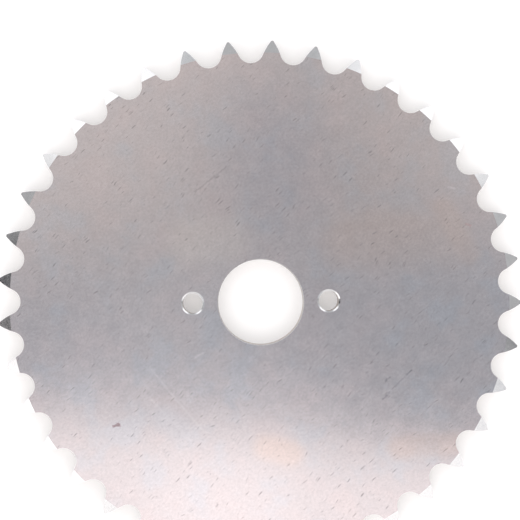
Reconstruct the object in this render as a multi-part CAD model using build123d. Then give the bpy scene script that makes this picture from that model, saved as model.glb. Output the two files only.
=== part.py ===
from build123d import *
from math import acos, atan2, cos, degrees, pi, radians, sin
import os

# A flat roller chain sprocket: one metal plate with a plain bore, two bolt holes
# and a ring of bevelled teeth. All sizes are in millimetres and degrees.
# The frame: origin on the bore's axis at half the plate's thickness, +Z along
# the bore, and +X through the two bolt holes.

# Driving dimensions of the chain and the tooth ring
CHAIN_PITCH = 12.7
TOOTH_COUNT = 37
SEAT_RADIUS = 3.92
FLANK_RADIUS = 22.0
TIP_ROUND_RADIUS = 0.5
TIP_HEIGHT = 3.15
TOOTH_PHASE = -1.15

# Driving dimensions of the plate, and the bevel on each side of the teeth
PLATE_THICKNESS = 5.8
BEVEL_LENGTH = 3.9
BEVEL_DROP = 1.6

# Driving dimensions of the bore and the bolt holes
BORE_DIAMETER = 25.4
BORE_EDGE_BREAK = 0.2
BOLT_CIRCLE_DIAMETER = 40.4
BOLT_HOLE_COUNT = 2
BOLT_HOLE_DIAMETER = 6.0
BOLT_HOLE_CHAMFER_WIDTH = 0.45
BOLT_HOLE_CHAMFER_DEPTH = 0.26

# How far a cutting shape runs past the metal that it trims
CUT_MARGIN = 0.5

# Sizes worked out from the driving dimensions
tooth_step = 360 / TOOTH_COUNT
pitch_radius = CHAIN_PITCH / (2 * sin(pi / TOOTH_COUNT))
tip_radius = pitch_radius + TIP_HEIGHT
half_thickness = PLATE_THICKNESS / 2


def polar(radius, angle):
    """A point of the plate's plane, from its radius and its angle in degrees."""
    return Vector(radius * cos(radians(angle)), radius * sin(radians(angle)))


def circle_meeting(centre_a, radius_a, centre_b, radius_b):
    """Where two circles meet, on the left hand of the line from a to b."""
    line = centre_b - centre_a
    turn = acos((radius_a**2 + line.length**2 - radius_b**2) / (2 * radius_a * line.length))
    heading = atan2(line.Y, line.X) + turn
    return centre_a + Vector(cos(heading), sin(heading)) * radius_a


def tooth_curves(centre_angle):
    """One tooth and the seat after it: a flank, the tip, the other flank and the seat."""
    seat = polar(pitch_radius, tooth_step / 2)
    nose = Vector(tip_radius - TIP_ROUND_RADIUS, 0)
    # The flank's arc bulges outward: it touches the tip from inside and the seat from outside.
    flank = circle_meeting(nose, FLANK_RADIUS - TIP_ROUND_RADIUS, seat, FLANK_RADIUS + SEAT_RADIUS)
    tip_end = nose + (nose - flank).normalized() * TIP_ROUND_RADIUS
    seat_start = seat + (flank - seat).normalized() * SEAT_RADIUS
    flank_middle = flank + ((tip_end + seat_start) / 2 - flank).normalized() * FLANK_RADIUS
    seat_bottom = polar(pitch_radius - SEAT_RADIUS, tooth_step / 2)
    seat_end = polar(seat_start.length, tooth_step - degrees(atan2(seat_start.Y, seat_start.X)))
    other_flank = ThreePointArc(tip_end, flank_middle, seat_start)
    first_flank = other_flank.mirror(Plane.XZ)
    tip = ThreePointArc(Vector(tip_end.X, -tip_end.Y), Vector(tip_radius, 0), tip_end)
    seat_arc = ThreePointArc(seat_start, seat_bottom, seat_end)
    return [curve.rotate(Axis.Z, centre_angle) for curve in (first_flank, tip, other_flank, seat_arc)]


def toothed_plate():
    """The blank at full thickness, with the whole tooth ring and no bevels."""
    curves = []
    for index in range(TOOTH_COUNT):
        curves += tooth_curves(TOOTH_PHASE + index * tooth_step)
    outline = make_face(Wire.combine(curves)[0])
    return extrude(outline, half_thickness, both=True)


def bevel_envelope():
    """The turned shape that the teeth lie in: a disc with a cone on each side."""
    slope = BEVEL_DROP / BEVEL_LENGTH
    bevel_start = tip_radius - BEVEL_LENGTH
    reach = tip_radius + CUT_MARGIN
    rim_height = half_thickness - (reach - bevel_start) * slope
    section = Polyline(
        (0, -half_thickness),
        (bevel_start, -half_thickness),
        (reach, -rim_height),
        (reach, rim_height),
        (bevel_start, half_thickness),
        (0, half_thickness),
        close=True,
    )
    return revolve(Plane.XZ * make_face(section), Axis.Z)


def chamfered_drill(diameter, chamfer_width, chamfer_depth):
    """The shape that cuts a through hole with the same chamfer on both faces."""
    radius = diameter / 2
    top = half_thickness + CUT_MARGIN
    mouth = radius + (chamfer_depth + CUT_MARGIN) * chamfer_width / chamfer_depth
    section = Polyline(
        (0, -top),
        (mouth, -top),
        (radius, -half_thickness + chamfer_depth),
        (radius, half_thickness - chamfer_depth),
        (mouth, top),
        (0, top),
        close=True,
    )
    return revolve(Plane.XZ * make_face(section), Axis.Z)


def sprocket():
    """The finished plate."""
    body = toothed_plate() & bevel_envelope()
    body -= chamfered_drill(BORE_DIAMETER, BORE_EDGE_BREAK, BORE_EDGE_BREAK)
    bolt_drill = chamfered_drill(BOLT_HOLE_DIAMETER, BOLT_HOLE_CHAMFER_WIDTH, BOLT_HOLE_CHAMFER_DEPTH)
    for index in range(BOLT_HOLE_COUNT):
        place = polar(BOLT_CIRCLE_DIAMETER / 2, index * 360 / BOLT_HOLE_COUNT)
        body -= Pos(place.X, place.Y) * bolt_drill
    return body


os.makedirs("parts", exist_ok=True)
body = sprocket()
export_step(body, "parts/sprocket.step")
print("pitch diameter", round(2 * pitch_radius, 3), "outside diameter", round(2 * tip_radius, 3))
print("volume cm3", round(body.volume / 1000, 3))
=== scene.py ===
import bpy
from math import cos, hypot, pi, radians, sin
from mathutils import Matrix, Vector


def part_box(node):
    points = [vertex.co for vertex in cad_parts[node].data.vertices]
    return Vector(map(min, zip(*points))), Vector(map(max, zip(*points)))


# A chain sprocket plate that lies on white paper, seen from straight above.
# Lengths are in metres, those whose name ends in _MM are in millimetres, and
# angles are in degrees. The frame's +Z is the bore's axis, and +X runs through
# the two bolt holes.
MM = 0.001
PLATE = "sprocket"

# The camera, a little off the bore's axis
CAMERA_PLACE_MM = (-8.3, 11.0, 350.0)
CAMERA_TURN = (0.271, -1.361, -1.045)
CAMERA_LENS_MM = 81.04
CAMERA_NEAR_MM = 10.0

# The paper that the plate lies on. Rays that meet it sooner than CONTACT_RAY_MM
# pass it, so that the plate's back is lit when it is seen from below.
PAPER_SIZE_MM = 4000.0
PAPER_GAP_MM = 0.05
PAPER_COLOUR = (0.705, 0.70, 0.71)
PAPER_GLOW = 0.33
CONTACT_RAY_MM = 0.3

# The light tent: a ceiling and a horizon, with soft rectangular panels. A light
# value of 1 shows as white. LEVEL_LIMIT is the least rise that a direction is
# taken to have when it is set against the panels.
CEILING_LIGHT = (0.72, 0.765, 0.80)
HORIZON_LIGHT = (0.80, 0.80, 0.80)
BELOW_LIGHT = (0.75, 0.75, 0.75)
LEVEL_LIMIT = 0.05
LEVEL_REACH = 1 / LEVEL_LIMIT

# A panel lies in a level plane one unit above the plate. It is turned to a
# compass angle, counted from +X towards +Y, and its sides are given along that
# angle and across it. It fades over a strip of fade to each side of its edges,
# and one with a reach also ends at that distance from overhead.
WARM_CEILING = dict(
    compass=90, along=(0.0, 1.1), across=(-1.5, 1.5), fade=0.03, light=(0.775, 0.755, 0.73),
)
LEFT_CEILING = dict(
    compass=180, along=(0.0, 0.9), across=(-0.9, -0.02), fade=0.06, light=(0.95, 0.93, 0.895),
)
LEFT_GLIMMER = dict(
    compass=180, along=(0.0, 0.11), across=(0.0, 0.12), fade=0.05, light=(0.81, 0.85, 0.87),
)
COLUMN = dict(
    compass=90, along=(0.02, 0.15), across=(-0.075, 0.0), fade=0.03, light=(0.665, 0.70, 0.74),
)
DARK_CORNER = dict(
    compass=300, along=(0.055, 0.30), across=(0.005, 0.25), fade=0.03, light=(0.665, 0.71, 0.745),
)
RIGHT_SPILL = dict(
    compass=47, along=(0.17, 1.0), across=(-0.2, 0.2), fade=0.06, light=(0.98, 0.95, 0.91),
)
LEFT_SPILL = dict(
    compass=128, along=(0.13, 0.6), across=(-0.2, 0.2), fade=0.06, light=(1.08, 1.05, 1.01),
)
SILL = dict(
    compass=267, along=(1.2, 2.6), across=(-1.3, 1.3), fade=0.1, light=(1.12, 1.1, 1.08),
)
WINDOW_GLOW = dict(
    compass=264, along=(0.09, 0.3), across=(-0.14, 0.10), fade=0.04, light=(0.98, 1.01, 1.04),
)
WINDOW = dict(
    compass=264, along=(0.142, 1.35), across=(-1.9, 1.48), fade=0.02, light=(1.91, 1.84, 1.80),
    reach=1.71,
)
WINDOW_HEART = dict(
    compass=264, along=(0.15, 0.35), across=(-0.05, 0.07), fade=0.02, light=(2.15, 2.07, 2.02),
)
RIGHT_LAMP = dict(
    compass=47, along=(0.9, 2.6), across=(-0.56, 0.50), fade=0.15, light=(1.65, 1.65, 1.65),
)
LEFT_WALL = dict(
    compass=157, along=(1.1, 2.6), across=(-0.22, 0.15), fade=0.08, light=(0.52, 0.52, 0.52),
)
LEFT_LAMP = dict(
    compass=128, along=(0.5, 2.6), across=(-0.46, 0.44), fade=0.15, light=(1.65, 1.65, 1.65),
)
BACK_WALL = dict(
    compass=88, along=(1.0, 2.6), across=(-0.45, 0.40), fade=0.3, light=(0.62, 0.62, 0.62),
)
RIGHT_WALL = dict(
    compass=357, along=(1.1, 2.6), across=(-0.36, 0.60), fade=0.12, light=(0.65, 0.65, 0.65),
)
RIGHT_PILLAR = dict(
    compass=350, along=(1.1, 2.6), across=(-0.15, 0.13), fade=0.06, light=(0.36, 0.36, 0.36),
)
DOORWAY = dict(
    compass=175, along=(1.1, 1.62), across=(-0.25, 0.43), fade=0.08, light=(0.02, 0.015, 0.018),
)

# The panels in the order in which they are laid, each over those before it
TENT_PANELS = (
    WARM_CEILING, LEFT_CEILING, LEFT_GLIMMER, COLUMN, DARK_CORNER, RIGHT_SPILL, LEFT_SPILL,
    SILL, WINDOW_GLOW, WINDOW, WINDOW_HEART, RIGHT_LAMP, LEFT_WALL, LEFT_LAMP, BACK_WALL,
    RIGHT_WALL, RIGHT_PILLAR, DOORWAY,
)

# The edges of the metal, rounded as tumbling and plating leave them
EDGE_ROUND_MM = 0.09
EDGE_ROUND_STEPS = 2
SHARP_EDGE_ANGLE = 15
WELD_DISTANCE_MM = 0.001

# How much of a surface's normal runs along the plate's axis: from where to where
# a bevel turns into a rolled face, and from where to where it turns into a wall
FACE_LEAN = (0.955, 0.985)
WALL_LEAN = (0.60, 0.40)

# The zinc plating of the rolled faces. The size of a texture is the length of its
# waves in millimetres, or in marks where the place is stretched first. CLOUD_EDGE
# is the noise at which a cloud has its full colour. Each SHADE is a share of the
# colour, and a negative one darkens.
FACE_COLOUR = (0.476, 0.438, 0.453)
FACE_PINK = (0.494, 0.444, 0.456)
FACE_BLUE = (0.460, 0.443, 0.470)
FACE_ROUGHNESS = 0.13
ROLLING_ANGLE = 43
CLOUDS = dict(size=11, detail=3)
CLOUD_EDGE = 0.35
TONE = dict(size=4, detail=4, roughness=0.6)
TONE_SHADE = 0.08
TONE_ROUGHNESS = 0.04
GRAIN_LENGTH_MM = 1.4
GRAIN_WIDTH_MM = 0.7
GRAIN = dict(size=1.0, detail=3, roughness=0.6)
GRAIN_SHADE = 0.08
GRAIN_HEIGHT_MM = 0.0009
FLECK = dict(size=0.7, detail=3, roughness=0.6)
FLECK_SHADE = 0.14
FLECK_HEIGHT_MM = 0.0008

# The dents of the rolled faces, each in a cell of a stretched pattern that noise
# shifts over a span of DRIFT_MM. A cell's luck, and the crowding where the tone
# is light, give its dent a radius, as a share of the cell: none at the start of
# DENT_LUCK, and DENT_RADIUS at its end.
# The next share darkens the colour inside each dent: painted shade for the dent's shadow. The dent's
# depth itself is a real bump.
DENT_PAINTED_SHADE = -0.42
DENT_HEIGHT_MM = -0.005
DENT_CELL_LENGTH_MM = 3.0
DENT_CELL_WIDTH_MM = 0.5
DRIFT_SIZE_MM = 14
DRIFT_DETAIL = 4.0
DRIFT_MM = 5
DENT_CROWDING = 0.7
DENT_LUCK = (0.50, 1.05)
LEAST_DENT_RADIUS = 0.001
DENT_RADIUS = 0.44
DENT_SLOPE = 0.7
FAINTEST_DENT = 0.2

# Marks and tinted patches on the front face. Each follows a path of places and
# has a width, all in millimetres, and a share of its colour. The widest patches
# tint the back too. RAGGED_MM is how far the flecks can move the edges.
FRONT_HEIGHT_MM = 2.9
RAGGED_MM = 0.8
DARK_SCRATCH = (0.25, 0.23, 0.25)
LONG_LIGHT_SCRATCHES = (
    dict(path=((-32.8, -19.2), (-25.4, -28.6), (-18.0, -37.5)),
         width=0.7, colour=(0.60, 0.57, 0.58), share=0.24),
    dict(path=((-33.4, -27.6), (-28.4, -33.2), (-21.5, -40.5)),
         width=0.7, colour=(0.62, 0.59, 0.60), share=0.28),
)
SHORT_LIGHT_SCRATCHES = (
    dict(path=((-19.6, -15.9), (-17.4, -14.8)), width=0.9, colour=(0.62, 0.58, 0.59), share=0.5),
    dict(path=((56.5, 33.2), (58.3, 32.7)), width=0.8, colour=(0.62, 0.58, 0.62), share=0.5),
)
LOWER_RIGHT_SCRATCH = (
    dict(path=((35.8, -29.5), (44.3, -21.1)), width=0.6, colour=(0.30, 0.28, 0.30), share=0.3),
    dict(path=((35.8, -29.5), (36.9, -28.5)), width=0.7, colour=DARK_SCRATCH, share=0.5),
    dict(path=((43.4, -22.2), (44.3, -21.1)), width=0.7, colour=DARK_SCRATCH, share=0.5),
    dict(path=((36.5, -24.2), (38.1, -22.8)), width=0.7, colour=DARK_SCRATCH, share=0.5),
)
UPPER_LEFT_SCRATCHES = (
    dict(path=((-19.0, 33.0), (-9.6, 40.2)), width=0.7, colour=(0.32, 0.29, 0.30), share=0.4),
    dict(path=((-14.5, 20.6), (-12.3, 22.9)), width=0.7, colour=(0.25, 0.22, 0.24), share=0.5),
)
REDDISH_SPOTS = (
    dict(path=((-44.1, -35.7), (-42.3, -35.6), (-43.0, -35.1)),
         width=1.2, colour=(0.18, 0.10, 0.11), share=0.65),
    dict(path=((61.7, 22.1), (62.8, 21.5)), width=1.2, colour=(0.50, 0.33, 0.34), share=0.5),
)
TINTED_PATCHES = (
    dict(path=((28.0, 18.0), (53.0, 18.0)), width=27.0, colour=(0.508, 0.440, 0.433), share=0.8),
    dict(path=((-20.0, 18.0), (-10.0, 18.5)), width=22.0, colour=(0.540, 0.490, 0.488), share=0.75),
    dict(path=((-29.0, -34.0), (-25.0, -37.0)), width=12.0, colour=(0.452, 0.438, 0.466), share=0.7),
)
RUST_AND_ORANGE_PATCHES = (
    dict(path=((55.0, 27.0), (62.5, 13.0)), width=10.0, colour=(0.55, 0.45, 0.42), share=0.35),
    dict(path=((1.0, -43.0), (8.0, -45.0)), width=12.0, colour=(0.56, 0.45, 0.41), share=0.48),
    dict(path=((40.0, -44.0), (56.0, -43.0)), width=11.0, colour=(0.56, 0.44, 0.40), share=0.38),
)
MARKS = (
    *LONG_LIGHT_SCRATCHES, *SHORT_LIGHT_SCRATCHES, *LOWER_RIGHT_SCRATCH, *UPPER_LEFT_SCRATCHES,
    *REDDISH_SPOTS, *TINTED_PATCHES, *RUST_AND_ORANGE_PATCHES,
)

# The turned bevels, with fine rings one TOOL_MARK_PITCH_MM apart
BEVEL_COLOUR = (0.66, 0.66, 0.675)
BEVEL_ROUGHNESS = 0.15
TOOL_MARK_PITCH_MM = 0.16
RING_WOBBLE = dict(size=6, detail=1)
RING_WOBBLE_TURNS = 0.05
RING_SHADE = 0.01
RING_HEIGHT_MM = 0.0006
BEVEL_SMUDGE = dict(size=1.6, detail=3)
BEVEL_SMUDGE_SHADE = 0.06
BEVEL_SMUDGE_ROUGHNESS = 0.05
BEVEL_SMUDGE_HEIGHT_MM = 0.002

# The cut walls, with marks that are long in the plate's thickness
WALL_COLOUR = (0.48, 0.42, 0.385)
WALL_ROUGHNESS = 0.34
WALL_MARK_SIZES_MM = (0.25, 0.25, 5)
WALL_MARK = dict(size=1.0, detail=3)
WALL_MARK_SHADE = 0.14
WALL_MARK_ROUGHNESS = 0.10
WALL_MARK_HEIGHT_MM = 0.006
WALL_SMUDGE = dict(size=2.0, detail=3)
WALL_SMUDGE_SHADE = 0.08
WALL_SMUDGE_HEIGHT_MM = 0.004


class Nodes:
    """Short calls that add nodes to one node tree."""

    def __init__(self, tree):
        self.tree = tree
        tree.nodes.clear()

    def node(self, kind, inputs, **settings):
        """Adds one node, and sets or links its inputs."""
        node = self.tree.nodes.new(kind if "Node" in kind else "ShaderNode" + kind)
        for name, value in settings.items():
            setattr(node, name, value)
        for key, value in inputs.items():
            socket = node.inputs[key]
            if isinstance(value, bpy.types.NodeSocket):
                self.tree.links.new(value, socket)
            else:
                socket.default_value = value
        return node

    def add(self, kind, inputs, output=0, **settings):
        """Adds one node in the same way, and returns one of its outputs."""
        return self.node(kind, inputs, **settings).outputs[output]

    def maths(self, operation, a, b=0.0, c=0.0):
        return self.add("Math", {0: a, 1: b, 2: c}, operation=operation)

    def vector(self, operation, a, b=(0, 0, 0), output="Vector"):
        return self.add("VectorMath", {0: a, 1: b}, output, operation=operation)

    def scaled(self, vector, factor):
        return self.add("VectorMath", {0: vector, "Scale": factor}, operation="SCALE")

    def off_axis(self, place):
        """A place's distance from the upright axis."""
        level = self.vector("MULTIPLY", place, (1, 1, 0))
        return self.vector("LENGTH", level, output="Value")

    def fade(self, value, start, end, low=0.0, high=1.0):
        """Goes smoothly from low at start to high at end, and stays there beyond them."""
        spans = {"From Min": start, "From Max": end, "To Min": low, "To Max": high}
        return self.add("MapRange", {"Value": value, **spans}, interpolation_type="SMOOTHSTEP")

    def blend(self, share, a, b):
        return self.add("Mix", {0: share, 2: a, 3: b})

    def tint(self, share, a, b):
        """Mixes two colours, which are sockets or triples."""
        ends = [end if isinstance(end, bpy.types.NodeSocket) else (*end, 1) for end in (a, b)]
        return self.add("Mix", {0: share, 6: ends[0], 7: ends[1]}, 2, data_type="RGBA")

    def noise(self, place, size, detail, roughness=0.5):
        """Smooth noise about 0, whose waves are about as long as size."""
        inputs = {"Vector": place, "Scale": 1 / size, "Detail": detail, "Roughness": roughness}
        value = self.add("TexNoise", inputs, "Fac")
        return self.maths("MULTIPLY_ADD", value, 2.0, -1.0)

    def stretched(self, place, angle, length, width):
        """Coordinates in which a mark of that length and width, along that angle, is round."""
        inputs = {"Vector": place, "Angle": radians(-angle)}
        turned = self.add("VectorRotate", inputs, rotation_type="Z_AXIS")
        return self.vector("DIVIDE", turned, (length, width, width))

    def total(self, *terms):
        """Adds up (value, weight) pairs."""
        result = 0.0
        for value, weight in terms:
            result = self.maths("MULTIPLY_ADD", value, weight, result)
        return result


def add_camera():
    data = bpy.data.cameras.new("camera")
    data.lens = CAMERA_LENS_MM
    data.clip_start = CAMERA_NEAR_MM * MM
    camera = bpy.data.objects.new("camera", data)
    camera.location = [length * MM for length in CAMERA_PLACE_MM]
    camera.rotation_euler = [radians(angle) for angle in CAMERA_TURN]
    bpy.context.scene.collection.objects.link(camera)
    bpy.context.scene.camera = camera


def seen_directly(nodes):
    """1 for rays from the camera and for what metal or glass shows, otherwise 0."""
    ray = nodes.node("LightPath", {}).outputs
    glossy_or_glass = nodes.maths("MAXIMUM", ray["Is Glossy Ray"], ray["Is Transmission Ray"])
    return nodes.maths("MAXIMUM", ray["Is Camera Ray"], glossy_or_glass)


def panel_mask(nodes, level_place, compass, along, across, fade, reach=LEVEL_REACH):
    """1 inside a panel of the tent, fading to 0 at its edges and beyond its reach."""
    turn = radians(compass)
    along_heading = (cos(turn), sin(turn), 0)
    across_heading = (-sin(turn), cos(turn), 0)
    mask = 1.0
    for (first, last), heading in ((along, along_heading), (across, across_heading)):
        position = nodes.vector("DOT_PRODUCT", level_place, heading, "Value")
        mask = nodes.maths("MULTIPLY", mask, nodes.fade(position, first - fade, first + fade))
        mask = nodes.maths("MULTIPLY", mask, nodes.fade(position, last + fade, last - fade))
    if reach < LEVEL_REACH:
        distance = nodes.off_axis(level_place)
        mask = nodes.maths("MULTIPLY", mask, nodes.fade(distance, reach + fade, reach - fade))
    return mask


def add_tent():
    """The world: a pale tent with soft panels, which the camera sees as plain white."""
    world = bpy.data.worlds.new("tent")
    world.use_nodes = True
    bpy.context.scene.world = world
    nodes = Nodes(world.node_tree)
    direction = nodes.add("TexCoord", {}, "Generated")
    rise = nodes.add("SeparateXYZ", {0: direction}, "Z")
    stretch = nodes.maths("DIVIDE", 1.0, nodes.maths("MAXIMUM", rise, LEVEL_LIMIT))
    level_place = nodes.scaled(direction, stretch)
    light = nodes.tint(nodes.fade(rise, 1, 0), CEILING_LIGHT, HORIZON_LIGHT)
    for panel in TENT_PANELS:
        shape = {key: value for key, value in panel.items() if key != "light"}
        light = nodes.tint(panel_mask(nodes, level_place, **shape), light, panel["light"])
    light = nodes.tint(nodes.fade(rise, 0, -LEVEL_LIMIT), light, BELOW_LIGHT)
    shown = nodes.tint(nodes.add("LightPath", {}, "Is Camera Ray"), light, (1, 1, 1))
    background = nodes.add("Background", {"Color": shown, "Strength": 1.0})
    nodes.node("OutputWorld", {"Surface": background})


def add_paper():
    """The white paper under the plate. From below it is clear, so that the back can be seen."""
    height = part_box(PLATE)[0].z - PAPER_GAP_MM * MM
    half = PAPER_SIZE_MM * MM / 2
    mesh = bpy.data.meshes.new("paper")
    corners = [(-half, -half, height), (half, -half, height), (half, half, height), (-half, half, height)]
    mesh.from_pydata(corners, [], [(0, 1, 2, 3)])
    paper = bpy.data.objects.new("paper", mesh)
    bpy.context.scene.collection.objects.link(paper)
    mesh.materials.append(paper_material())


def paper_material():
    """Matt paper that shows as white, clear from below and for rays of contact length."""
    material = bpy.data.materials.new("paper")
    material.use_nodes = True
    nodes = Nodes(material.node_tree)
    matt = nodes.add("BsdfDiffuse", {"Color": (*PAPER_COLOUR, 1)}, "BSDF")
    glow = nodes.maths("MULTIPLY", seen_directly(nodes), PAPER_GLOW)
    white = nodes.add("Emission", {"Color": (1, 1, 1, 1), "Strength": glow})
    sheet = nodes.add("AddShader", {0: matt, 1: white})
    from_below = nodes.add("NewGeometry", {}, "Backfacing")
    ray_length = nodes.add("LightPath", {}, "Ray Length")
    touching = nodes.maths("LESS_THAN", ray_length, CONTACT_RAY_MM * MM)
    clear = nodes.maths("MAXIMUM", from_below, touching)
    see_through = nodes.add("BsdfTransparent", {})
    surface = nodes.add("MixShader", {0: clear, 1: sheet, 2: see_through})
    nodes.node("OutputMaterial", {"Surface": surface})
    return material


def round_edges(plate):
    """Joins the frame mesh's split corners, rounds its sharp edges and keeps its flats flat."""
    weld = plate.modifiers.new("join_corners", "WELD")
    weld.merge_threshold = WELD_DISTANCE_MM * MM
    rounding = plate.modifiers.new("round_edges", "BEVEL")
    rounding.width = EDGE_ROUND_MM * MM
    rounding.segments = EDGE_ROUND_STEPS
    rounding.limit_method = "ANGLE"
    rounding.angle_limit = radians(SHARP_EDGE_ANGLE)
    normals = plate.modifiers.new("flat_faces", "NODES")
    normals.node_group = large_faces_lead()


def large_faces_lead():
    """Gives each point the mean of its faces' normals, weighted by their areas squared."""
    tree = bpy.data.node_groups.new("large_faces_lead", "GeometryNodeTree")
    for side in ("INPUT", "OUTPUT"):
        tree.interface.new_socket("Geometry", in_out=side, socket_type="NodeSocketGeometry")
    nodes = Nodes(tree)
    area = nodes.maths("MULTIPLY", nodes.add("GeometryNodeInputMeshFaceArea", {}), 1 / MM**2)
    facing = nodes.add("GeometryNodeInputNormal", {}, "True Normal")
    share = nodes.scaled(facing, nodes.maths("MULTIPLY", area, area))
    mean = nodes.add("GeometryNodeFieldOnDomain", {0: share}, domain="FACE", data_type="FLOAT_VECTOR")
    shape = nodes.add("NodeGroupInput", {})
    inputs = {"Mesh": shape, "Custom Normal": nodes.vector("NORMALIZE", mean)}
    shaded = nodes.add("GeometryNodeSetMeshNormal", inputs, mode="FREE", domain="POINT")
    nodes.node("NodeGroupOutput", {0: shaded})
    return tree


def metal_material():
    """Zinc plated steel: rolled faces, turned bevels and cut walls."""
    material = bpy.data.materials.new("zinc_plated_steel")
    material.use_nodes = True
    nodes = Nodes(material.node_tree)
    place = nodes.vector("MULTIPLY", nodes.add("TexCoord", {}, "Object"), (1 / MM, 1 / MM, 1 / MM))
    normal = nodes.add("TexCoord", {}, "Normal")
    lean = nodes.maths("ABSOLUTE", nodes.vector("DOT_PRODUCT", normal, (0, 0, 1), "Value"))
    on_face = nodes.fade(lean, *FACE_LEAN)
    on_wall = nodes.fade(lean, *WALL_LEAN)
    face = rolled_face(nodes, place)
    bevel = turned_bevel(nodes, place)
    wall = cut_wall(nodes, place)
    colour = nodes.tint(on_face, bevel["colour"], face["colour"])
    colour = nodes.tint(on_wall, colour, wall["colour"])
    roughness = nodes.blend(on_face, bevel["roughness"], face["roughness"])
    roughness = nodes.blend(on_wall, roughness, wall["roughness"])
    height = nodes.blend(on_face, bevel["height"], face["height"])
    height = nodes.blend(on_wall, height, wall["height"])
    bump = nodes.add("Bump", {"Height": height, "Distance": MM, "Strength": 1.0})
    surface = {"Base Color": colour, "Roughness": roughness, "Normal": bump, "Metallic": 1.0}
    metal = nodes.add("BsdfPrincipled", surface)
    nodes.node("OutputMaterial", {"Surface": metal})
    return material


def rolled_face(nodes, place):
    """Rolled and plated sheet: faint colour clouds, a slanting grain, dents with painted shade in them,
    and marks.
    """
    clouds = nodes.noise(place, **CLOUDS)
    tone = nodes.noise(place, **TONE)
    along_grain = nodes.stretched(place, ROLLING_ANGLE, GRAIN_LENGTH_MM, GRAIN_WIDTH_MM)
    grain = nodes.noise(along_grain, **GRAIN)
    fleck = nodes.noise(place, **FLECK)
    dent = dents(nodes, place, tone)
    colour = nodes.tint(nodes.fade(clouds, 0.0, CLOUD_EDGE), FACE_COLOUR, FACE_PINK)
    colour = nodes.tint(nodes.fade(clouds, 0.0, -CLOUD_EDGE), colour, FACE_BLUE)
    for mark in MARKS:
        near = near_path(nodes, place, fleck, mark["path"], mark["width"])
        colour = nodes.tint(nodes.maths("MULTIPLY", near, mark["share"]), colour, mark["colour"])
    # The dents darken the colour here as painted shade.
    level = nodes.total(
        (tone, TONE_SHADE), (grain, GRAIN_SHADE), (fleck, FLECK_SHADE), (dent, DENT_PAINTED_SHADE)
    )
    colour = nodes.scaled(colour, nodes.maths("ADD", level, 1.0))
    roughness = nodes.maths("MULTIPLY_ADD", tone, TONE_ROUGHNESS, FACE_ROUGHNESS)
    height = nodes.total((grain, GRAIN_HEIGHT_MM), (fleck, FLECK_HEIGHT_MM), (dent, DENT_HEIGHT_MM))
    return {"colour": colour, "roughness": roughness, "height": height}


def near_path(nodes, place, wander, path, width):
    """1 along a path on the front face, fading to 0 at half the width beside it."""
    nearest = width
    for start, end in zip(path, path[1:]):
        line = [b - a for a, b in zip(start, end)]
        length = hypot(*line)
        heading = (line[0] / length, line[1] / length, 0)
        from_start = nodes.vector("SUBTRACT", place, (*start, FRONT_HEIGHT_MM))
        along = nodes.vector("DOT_PRODUCT", from_start, heading, "Value")
        along = nodes.maths("MINIMUM", nodes.maths("MAXIMUM", along, 0.0), length)
        aside = nodes.vector("SUBTRACT", from_start, nodes.scaled(heading, along))
        nearest = nodes.maths("MINIMUM", nodes.vector("LENGTH", aside, output="Value"), nearest)
    nearest = nodes.maths("MULTIPLY_ADD", wander, RAGGED_MM, nearest)
    return nodes.fade(nearest, width / 2, width / 8)


def dents(nodes, place, crowd):
    """Short dashes along the rolling direction, one in a few cells, 1 where deepest."""
    inputs = {"Vector": place, "Scale": 1 / DRIFT_SIZE_MM, "Detail": DRIFT_DETAIL}
    drift = nodes.vector("SUBTRACT", nodes.add("TexNoise", inputs, "Color"), (0.5, 0.5, 0.5))
    drifted = nodes.vector("ADD", place, nodes.vector("MULTIPLY", drift, (DRIFT_MM, DRIFT_MM, 0)))
    in_cells = nodes.stretched(drifted, ROLLING_ANGLE, DENT_CELL_LENGTH_MM, DENT_CELL_WIDTH_MM)
    cell = nodes.node("TexVoronoi", {"Vector": in_cells, "Scale": 1.0}).outputs
    luck = nodes.node("SeparateColor", {"Color": cell["Color"]}).outputs
    chance = nodes.maths("MULTIPLY_ADD", crowd, DENT_CROWDING, luck["Red"])
    radius = nodes.fade(chance, *DENT_LUCK, 0.0, DENT_RADIUS)
    radius = nodes.maths("MAXIMUM", radius, LEAST_DENT_RADIUS)
    depth = nodes.maths("SUBTRACT", 1.0, nodes.maths("DIVIDE", cell["Distance"], radius))
    strength = nodes.maths("MULTIPLY_ADD", luck["Green"], 1 - FAINTEST_DENT, FAINTEST_DENT)
    return nodes.maths("MULTIPLY", nodes.fade(depth, 0.0, DENT_SLOPE), strength)


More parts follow.
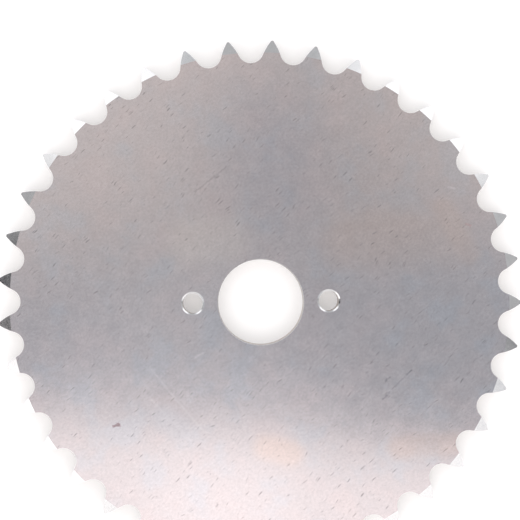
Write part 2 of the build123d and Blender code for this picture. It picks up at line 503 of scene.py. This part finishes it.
def turned_bevel(nodes, place):
    """The turned bevels and chamfers, with fine rings around the plate's axis."""
    turns = nodes.maths("DIVIDE", nodes.off_axis(place), TOOL_MARK_PITCH_MM)
    wobble = nodes.noise(place, **RING_WOBBLE)
    turns = nodes.maths("MULTIPLY_ADD", wobble, RING_WOBBLE_TURNS, turns)
    rings = nodes.maths("SINE", nodes.maths("MULTIPLY", turns, 2 * pi))
    smudge = nodes.noise(place, **BEVEL_SMUDGE)
    level = nodes.total((rings, RING_SHADE), (smudge, BEVEL_SMUDGE_SHADE))
    colour = nodes.scaled(BEVEL_COLOUR, nodes.maths("ADD", level, 1.0))
    roughness = nodes.maths("MULTIPLY_ADD", smudge, BEVEL_SMUDGE_ROUGHNESS, BEVEL_ROUGHNESS)
    height = nodes.total((rings, RING_HEIGHT_MM), (smudge, BEVEL_SMUDGE_HEIGHT_MM))
    return {"colour": colour, "roughness": roughness, "height": height}


def cut_wall(nodes, place):
    """The walls of the teeth and holes, with fine marks that run through the thickness."""
    marks = nodes.noise(nodes.vector("DIVIDE", place, WALL_MARK_SIZES_MM), **WALL_MARK)
    smudge = nodes.noise(place, **WALL_SMUDGE)
    level = nodes.total((marks, WALL_MARK_SHADE), (smudge, WALL_SMUDGE_SHADE))
    colour = nodes.scaled(WALL_COLOUR, nodes.maths("ADD", level, 1.0))
    roughness = nodes.maths("MULTIPLY_ADD", marks, WALL_MARK_ROUGHNESS, WALL_ROUGHNESS)
    height = nodes.total((marks, WALL_MARK_HEIGHT_MM), (smudge, WALL_SMUDGE_HEIGHT_MM))
    return {"colour": colour, "roughness": roughness, "height": height}


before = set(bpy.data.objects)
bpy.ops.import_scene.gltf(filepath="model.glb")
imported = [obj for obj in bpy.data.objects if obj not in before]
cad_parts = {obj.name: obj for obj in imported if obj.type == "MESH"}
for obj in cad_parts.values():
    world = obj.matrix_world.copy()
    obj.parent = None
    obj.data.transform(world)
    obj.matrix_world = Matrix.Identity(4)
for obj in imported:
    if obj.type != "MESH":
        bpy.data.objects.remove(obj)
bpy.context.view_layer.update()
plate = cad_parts[PLATE]
add_camera()
add_tent()
add_paper()
round_edges(plate)
plate.material_slots[0].material = metal_material()
bpy.context.scene.view_settings.view_transform = "Standard"
